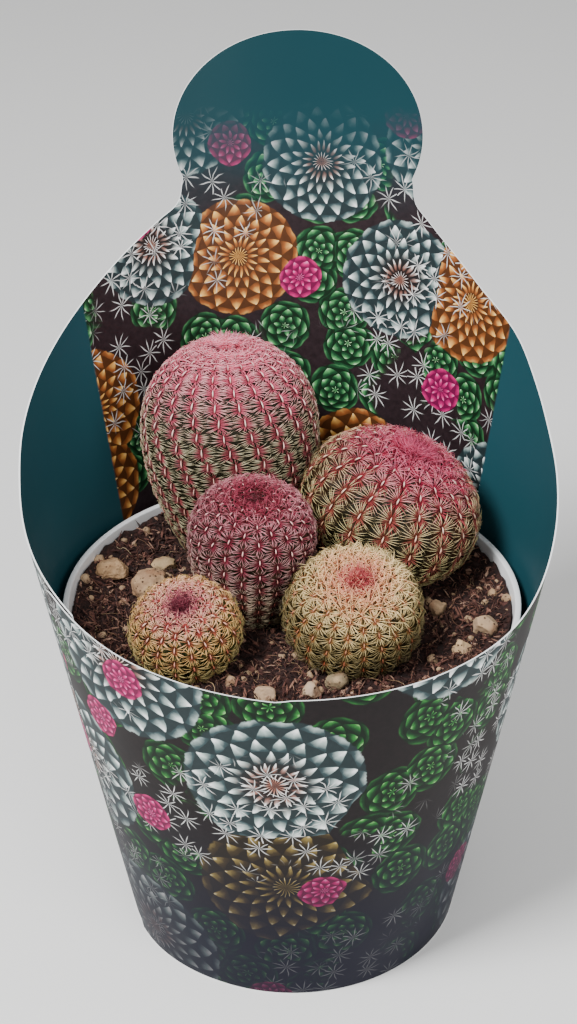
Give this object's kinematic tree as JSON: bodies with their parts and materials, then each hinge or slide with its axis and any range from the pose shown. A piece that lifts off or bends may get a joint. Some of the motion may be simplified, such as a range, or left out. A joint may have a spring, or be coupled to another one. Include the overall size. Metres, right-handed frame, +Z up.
{
  "type": "potted rainbow hedgehog cactus",
  "caption": "Potted rainbow hedgehog cactus: five ribbed, comb-spined stems in soil in a white pot, in a printed card sleeve with a tall rounded back.",
  "frame": {"origin": "centre of the pot's underside, on the surface the pot stands on", "axes": "+Z up along the pot's axis; -Y towards the low front of the sleeve, +Y towards its tall header; +X to the right as seen from the front"},
  "size_m": [0.1723, 0.188, 0.2782],
  "materials": {
    "pot_white": "smooth white polypropylene",
    "sleeve_card": "coated card, printed and varnished, semi-gloss",
    "soil_peat": "moist fibrous peat, rough",
    "grit_pumice": "rough porous pumice",
    "stem_back_left_skin": "waxy green rind under dense coloured comb spines",
    "stem_right_skin": "waxy green rind under dense coloured comb spines",
    "stem_centre_skin": "waxy green rind under dense coloured comb spines",
    "stem_front_right_skin": "waxy green rind under dense coloured comb spines",
    "stem_front_left_skin": "waxy green rind under dense coloured comb spines"
  },
  "bodies": {
    "root": {"pot": "pot_white", "sleeve": "sleeve_card", "soil": "soil_peat", "stem_back_left": "stem_back_left_skin", "stem_right": "stem_right_skin", "stem_centre": "stem_centre_skin", "stem_front_right": "stem_front_right_skin", "stem_front_left": "stem_front_left_skin", "chip_round_tan": "grit_pumice", "chip_left_tan": "grit_pumice", "chip_rear_pale": "grit_pumice", "chip_front_pale": "grit_pumice", "chip_front_grey": "grit_pumice", "chip_front_tan": "grit_pumice", "chip_right_tan": "grit_pumice", "chip_right_rough": "grit_pumice", "chip_right_small": "grit_pumice"}
  },
  "joints": []
}
